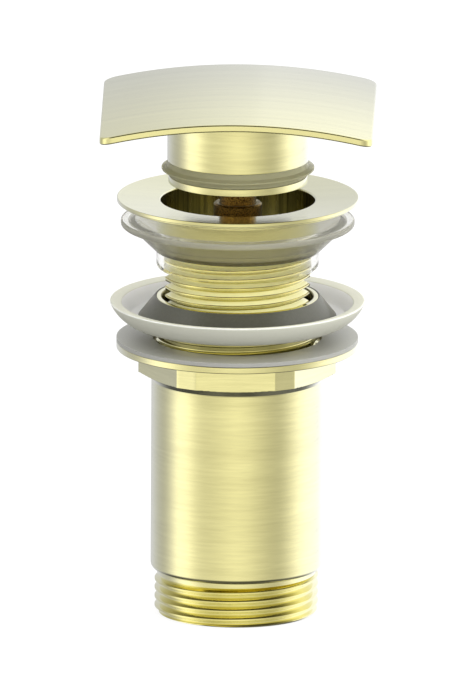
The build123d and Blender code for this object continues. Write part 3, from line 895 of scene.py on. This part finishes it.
# The sleeve hangs from the gasket round the top of the shank's thread
def makeSleeve():
    inner = flangeBody["threadDia"] / 2 + gasket["sleeveGap"]
    outer = flangeBody["shoulderDia"] / 2 - gasket["sleeveGap"]
    foot, top = gasket["sleeveFoot"], flangeBody["shoulderFoot"] - 2 * hair
    corners = [(inner, foot), (outer, foot, gasket["sleeveRound"]), (outer, top), (inner, top)]
    mesh = turnedPiece("gasket_sleeve", corners, 8)
    place(mesh, siliconeSleeve, "gasket", "clear_silicone", "flange_gasket")


makeGasket()
makeSleeve()
print("flange body and gasket made")


# Plug: core, seal, collar and cover

core = {
    "ringHeight": 1.85,
    "ringEdge": 0.12,
    "grooveDia": 31.2,
    "grooveHeight": 4.0,
    "spigotDia": 32.0,
    "cavityDia": 27.2,
    "cavityEdge": 0.25,
    "cavityRound": 0.8,
    "webBottom": 122.05,
    "webTop": 125.05,
    "studBore": 6.1,
}


def makeCore():
    radius, bottom, top = reach("plug_core")
    ringTop = bottom + core["ringHeight"]
    grooveTop = ringTop + core["grooveHeight"]
    groove, spigot = core["grooveDia"] / 2, core["spigotDia"] / 2
    cavity, stud = core["cavityDia"] / 2, core["studBore"] / 2
    corners = [
        (cavity, bottom, core["cavityEdge"]),
        (radius, bottom, core["ringEdge"]),
        (radius, ringTop, core["ringEdge"]),
        (groove, ringTop),
        (groove, grooveTop),
        (spigot, grooveTop),
        (spigot, top),
        (cavity, top),
        (cavity, core["webTop"]),
        (stud, core["webTop"]),
        (stud, core["webBottom"]),
        (cavity, core["webBottom"], core["cavityRound"]),
    ]
    place(turnedPiece("core_cup", corners), goldTurned, "plug", "brushed_gold", "plug_core")


seal = {
    "boreDia": 31.4,
    "footDia": 35.4,
    "footHeight": 1.2,
    "footLean": 0.05,
    "footEdge": 0.1,
    "topDia": 35.2,
    "lipDrop": 0.2,  # the lip's middle lies this far below the seal's
    "lipThickness": 0.4,
    "lipEdge": 0.08,
    "lipRise": 0.75,
    "lipRoot": 0.5,
    "hollow": 0.2,
}


def makeSeal():
    radius, bottom, top = reach("plug_seal")
    lip, half = (bottom + top) / 2 - seal["lipDrop"], seal["lipThickness"] / 2
    bore, foot = seal["boreDia"] / 2, seal["footDia"] / 2
    corners = [
        (bore, bottom),
        (foot, bottom, seal["footEdge"]),
        (foot + seal["footLean"], bottom + seal["footHeight"], seal["hollow"]),
        (radius, lip - half, seal["lipEdge"]),
        (radius, lip + half, seal["lipEdge"]),
        (foot + seal["lipRoot"], lip + seal["lipRise"], seal["hollow"]),
        (seal["topDia"] / 2, top),
        (bore, top),
    ]
    place(turnedPiece("seal_ring", corners), siliconeSeal, "plug", "clear_silicone", "plug_seal")


collar = {"boreDia": 32.1, "edge": 0.1, "footHeight": 1, "gap": 0.03}
cover = {
    "thickness": 1.9,
    "archRadius": 151.4,
    "cornerRound": 3.5,
    "edgeRound": 0.42,
    "sharpAngle": 50,
}


def archHeight(x, radius, top):
    return top - cover["archRadius"] + np.sqrt(radius**2 - x**2)


def makeCollar():
    radius, bottom = reach("cover_collar")[:2]
    coverTop = reach("cover_plate")[2]
    bore, under = collar["boreDia"] / 2, cover["archRadius"] - cover["thickness"]
    foot = [(bore, bottom), (radius, bottom, collar["edge"]), (radius, bottom + collar["footHeight"])]
    rows = turnedRows(rounded(foot))
    for r in (radius, bore):
        rows.append(rowAt(around, r, archHeight(r * np.cos(around), under, coverTop) - collar["gap"]))
    place(meshFromRows("collar_tube", rows), goldTurned, "plug", "brushed_gold", "cover_collar")


# Arched plate: a grid over the plan, drawn in from the edge, with rounded rims round it
def makeCover():
    low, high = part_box("cover_plate")
    halfWidth, halfDepth = (high.x - low.x) / 2 / mm, (high.y - low.y) / 2 / mm
    top, edge, arch = high.z / mm, cover["edgeRound"], cover["archRadius"]
    corner = cover["cornerRound"] - edge
    across = halfWidth - cover["cornerRound"]
    paintedReflection = halfDepth - cover["cornerRound"]
    cornerSteps, flatSteps, edgeSteps, lineSteps = 10, 24, 4, 12
    bends = [math.radians(90 * k / cornerSteps) for k in range(cornerSteps + 1)]
    right = [(across + corner * math.sin(bend), corner * math.cos(bend), bend) for bend in bends]
    half = [(x, corner, 0) for x in np.linspace(0, across, flatSteps + 1)[:-1]] + right
    stations = [(-x, y, -bend) for x, y, bend in reversed(half[1:])] + half
    lines = np.linspace(-1, 1, lineSteps + 1)
    work = bmesh.new()

    # one vertex for each station and line, on the top or the underside
    def grid(radius):
        made = []
        for x, y, _ in stations:
            z = archHeight(x, radius, top)
            made.append([work.verts.new((x * mm, (paintedReflection + y) * line * mm, z * mm)) for line in lines])
        return made

    # the vertices round a grid, with their side and station
    def border(made):
        last = len(stations) - 1
        loop = [(made[k][0], -1, k) for k in range(last)]
        loop += [(made[last][j], 0, last) for j in range(len(lines) - 1)]
        loop += [(made[k][-1], 1, k) for k in range(last, 0, -1)]
        loop += [(made[0][j], 0, 0) for j in range(len(lines) - 1, 0, -1)]
        return loop

    def outward(side, k):
        bend = stations[k][2]
        if side == 0:
            return Vector((math.copysign(1, bend), 0, 0))
        return Vector((math.sin(bend), side * math.cos(bend), 0))

    upper = grid(arch)
    lower = grid(arch - cover["thickness"])
    for made, flip in ((upper, False), (lower, True)):
        for k in range(len(stations) - 1):
            for j in range(len(lines) - 1):
                face = [made[k][j], made[k + 1][j], made[k + 1][j + 1], made[k][j + 1]]
                work.faces.new(face[::-1] if flip else face)
    upperLoop, lowerLoop = border(upper), border(lower)
    rims = []
    for loop, sign in ((lowerLoop, 1), (upperLoop, -1)):
        rings = []
        for step in range(1, edgeSteps + 1):
            bend = math.radians(90 * step / edgeSteps)
            fall = sign * edge * (1 - math.cos(bend))
            ring = []
            for vertex, side, k in loop:
                out = outward(side, k) * edge * math.sin(bend)
                x = vertex.co.x / mm
                slope = archHeight(x + out.x, arch, top) - archHeight(x, arch, top)
                ring.append(work.verts.new((vertex.co / mm + out + Vector((0, 0, fall + slope))) * mm))
            rings.append(ring)
        rims.append(rings)
    chain = [[v for v, _, _ in lowerLoop], *rims[0], *reversed(rims[1]), [v for v, _, _ in upperLoop]]
    count = len(upperLoop)
    for below, above in zip(chain, chain[1:]):
        for k in range(count):
            after = (k + 1) % count
            work.faces.new((below[k], below[after], above[after], above[k]))
    mesh = bpy.data.meshes.new("cover_square")
    work.to_mesh(mesh)
    work.free()
    plate = finishMesh("cover_square", mesh, cover["sharpAngle"])
    place(plate, goldCoverPaintedShade, "plug", "brushed_gold", "cover_plate")


makeCore()
makeSeal()
makeCollar()
makeCover()
print("plug made")


# Cartridge: the spring and the ring on the piston are drawn round, and the rest keeps its solids

springSize = {"wire": 0.8, "turns": 5, "keep": 0.314, "perTurn": 40, "sides": 10}


def makeSpring():
    radius, bottom, top = reach("return_spring")
    wire, turns, sides = springSize["wire"], springSize["turns"], springSize["sides"]
    perTurn = springSize["perTurn"]
    mean, rise = radius - wire / 2, (top - bottom - wire) / turns
    total = (turns + 1) * perTurn
    corners = [tau * k / sides for k in range(sides)]
    upward = np.array([0, 0, 1])
    rows = []
    for step in range(total + 1):
        turn = step / perTurn
        climb = np.clip(turn - 0.5, 0, turns)  # the first and last half turns lie flat
        outward = np.array([math.cos(tau * turn), math.sin(tau * turn), 0])
        centre = mean * outward + (bottom + wire / 2 + climb * rise) * upward
        rows.append([centre + wire / 2 * (math.cos(c) * outward + math.sin(c) * upward) for c in corners])
    points = np.array(rows) * mm
    faces = []
    for here in range(0, total * sides, sides):
        ahead = here + sides
        for k in range(sides):
            after = (k + 1) % sides
            faces.append((here + k, ahead + k, ahead + after, here + after))
    faces.append(tuple(range(sides)))
    faces.append(tuple(total * sides + k for k in reversed(range(sides))))
    mesh = bpy.data.meshes.new("spring_coil")
    mesh.from_pydata(points.reshape(-1, 3).tolist(), [], faces)
    spring = place(finishMesh("spring_coil", mesh), steel, "waste_body", "steel", "return_spring")
    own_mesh(spring)


def makePistonRing():
    radius, bottom, top = reach("rod_o_ring")
    half, middle, sides = (top - bottom) / 2, (bottom + top) / 2, 12
    corners = [tau * k / sides for k in range(sides)]
    section = [(radius - half + half * math.cos(c), middle + half * math.sin(c)) for c in corners]
    place(meshFromRows("piston_ring", turnedRows(section)), greyRubber, "plug", "grey_rubber", "rod_o_ring")


makeSpring()
makePistonRing()

innerFinish = {
    "crossbar": castBrass,
    "cartridge_nut": castBrass,
    "rod_nut": castBrass,
    "cartridge_barrel": bronze,
    "barrel_cap": bronze,
    "plunger_rod": bronze,
    "follower_pins": steel,
    "spring_seat": steel,
    "index_cam": acetal,
}
for node, material in innerFinish.items():
    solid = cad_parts[node]
    solid.data.materials.clear()
    solid.data.materials.append(material)
print("cartridge finished")


# Stage, light and camera

# Brightness of the studio round the object, as polished metal shows it,
# by the angle in degrees from the front to the right
studioRing = (
    (-180, 0.97),
    (-174, 0.58),
    (-152, 0.7),
    (-128, 0.52),
    (-112, 0.52),
    (-99, 0.8),
    (-87, 1.36),
    (-77, 1.42),
    (-67, 1.32),
    (-57, 1.0),
    (-46, 0.84),
    (-31, 0.86),
    (-15, 0.98),
    (0, 1.1),
    (17, 0.98),
    (25, 0.89),
    (34, 0.79),
    (42, 0.71),
    (51, 0.64),
    (60, 0.63),
    (69, 0.74),
    (79, 0.97),
    (90, 1.26),
    (102, 1.4),
    (118, 1.36),
    (138, 1.1),
    (160, 1.16),
    (174, 1.06),
    (180, 0.97),
)
studio = {
    "darkAbove": {"towards": (0, -0.5, 0.87), "edge": 0.68, "full": 0.84, "level": 0.03},
    "darkBelow": {"towards": (0, 0, -1), "edge": 0.34, "full": 0.7, "level": 0.12},
    "brightest": 1.6,
    "highest": 1.2,  # what the bright strips are held to above the horizon
    "highFrom": 0.15,  # upward share of the direction where that limit is full
    "fill": 1.4,
    "fillLean": (0.7, -0.23, 0.37),  # more light from the right, the front and above
}


def makeWorld():
    world = bpy.data.worlds.new("studio")
    scene.world = world
    world.use_nodes = True
    tree = world.node_tree
    direction = tree.nodes.new("ShaderNodeTexCoord").outputs["Generated"]
    parts = addNode(tree, "ShaderNodeSeparateXYZ", direction).outputs
    angle = addMath(tree, "ARCTAN2", parts["X"], addMath(tree, "MULTIPLY", parts["Y"], -1))
    ring = addNode(tree, "ShaderNodeValToRGB", addRange(tree, angle, (-math.pi, math.pi), (0, 1)))
    ring.color_ramp.interpolation = "B_SPLINE"
    stops = ring.color_ramp.elements
    stops.remove(stops[1])
    for index, (degrees, brightness) in enumerate(studioRing):
        spot = degrees / 360 + 0.5
        stop = stops[0] if index == 0 else stops.new(spot)
        stop.position = spot
        stop.color = (*[brightness / studio["brightest"]] * 3, 1)
    strips = addMath(tree, "MULTIPLY", ring.outputs["Color"], studio["brightest"])
    roof = addRange(tree, parts["Z"], (0, studio["highFrom"]), (studio["brightest"], studio["highest"]))
    polished = addMath(tree, "MINIMUM", strips, roof)
    for name in ("darkAbove", "darkBelow"):
        patch = studio[name]
        towards = Vector(patch["towards"]).normalized()
        near = addNode(tree, "ShaderNodeVectorMath", direction, towards, operation="DOT_PRODUCT")
        edges, levels = (patch["edge"], patch["full"]), (1, patch["level"])
        fade = addRange(tree, near.outputs["Value"], edges, levels, interpolation_type="SMOOTHSTEP")
        polished = addMath(tree, "MULTIPLY", polished, fade)
    lean = addNode(tree, "ShaderNodeVectorMath", direction, studio["fillLean"], operation="DOT_PRODUCT")
    fill = addMath(tree, "ADD", lean.outputs["Value"], studio["fill"])
    path = tree.nodes.new("ShaderNodeLightPath").outputs
    soft = mixValues(tree, path["Is Glossy Ray"], fill, polished)
    seen = addMath(tree, "MAXIMUM", path["Is Camera Ray"], path["Is Transmission Ray"])
    background = tree.nodes["Background"].inputs
    feed(tree, background["Color"], (1, 1, 1))
    feed(tree, background["Strength"], mixValues(tree, seen, soft, 1))


stage = {
    "floorHalf": 3.0,  # metres, as is the drop
    "floorDrop": 0.0002,  # how far the floor lies below the object
    "seenLevel": 0.9,  # how much it glows to the camera
    "shadowShare": 0.12,  # how pale it is to the camera where light falls, so a shadow shows
    "bounce": 0.22,  # how pale it is to other rays
}


# The camera sees a nearly white floor that keeps a faint shadow; other rays see a plain pale floor
def makeFloor():
    half, height = stage["floorHalf"], -stage["floorDrop"]
    mesh = bpy.data.meshes.new("floor")
    corners = [(-half, -half, height), (half, -half, height), (half, half, height), (-half, half, height)]
    mesh.from_pydata(corners, [], [(0, 1, 2, 3)])
    floor = bpy.data.objects.new("floor", mesh)
    scene.collection.objects.link(floor)
    floor.visible_glossy = False
    material = bpy.data.materials.new("floor")
    material.use_nodes = True
    tree = material.node_tree
    tree.nodes.remove(tree.nodes["Principled BSDF"])
    path = tree.nodes.new("ShaderNodeLightPath").outputs
    seen = addMath(tree, "MAXIMUM", path["Is Camera Ray"], path["Is Transmission Ray"])
    tone = mixColours(tree, seen, [stage["bounce"]] * 3, [stage["shadowShare"]] * 3)
    strength = addMath(tree, "MULTIPLY", seen, stage["seenLevel"])
    diffuse = addNode(tree, "ShaderNodeBsdfDiffuse", Color=tone)
    glow = addNode(tree, "ShaderNodeEmission", Strength=strength)
    total = addNode(tree, "ShaderNodeAddShader", diffuse.outputs[0], glow.outputs[0])
    feed(tree, tree.nodes["Material Output"].inputs["Surface"], total.outputs[0])
    mesh.materials.append(material)


view = {
    "azimuth": 1.0,
    "elevation": 13.2,
    "roll": 0.234,
    "aimHeight": 71.19,
    "aimRight": 0.064,
    "pixelsPerMm": 3.9,
    "imageHeight": 679,
    "distance": 1000,
}


def makeCamera():
    data = bpy.data.cameras.new("camera")
    data.type = "ORTHO"
    data.ortho_scale = view["imageHeight"] / view["pixelsPerMm"] * mm
    camera = bpy.data.objects.new("camera", data)
    scene.collection.objects.link(camera)
    azimuth, elevation = math.radians(view["azimuth"]), math.radians(view["elevation"])
    level = math.cos(elevation)
    back = Vector((math.sin(azimuth) * level, -math.cos(azimuth) * level, math.sin(elevation)))
    right = Vector((math.cos(azimuth), math.sin(azimuth), 0))
    target = Vector((0, 0, view["aimHeight"])) + right * view["aimRight"]
    camera.location = (target + back * view["distance"]) * mm
    camera.rotation_mode = "QUATERNION"
    roll = Quaternion((0, 0, 1), math.radians(view["roll"]))
    camera.rotation_quaternion = (-back).to_track_quat("-Z", "Y") @ roll
    scene.camera = camera


makeWorld()
makeFloor()
makeCamera()
scene.view_settings.view_transform = "Standard"
print("stage made")
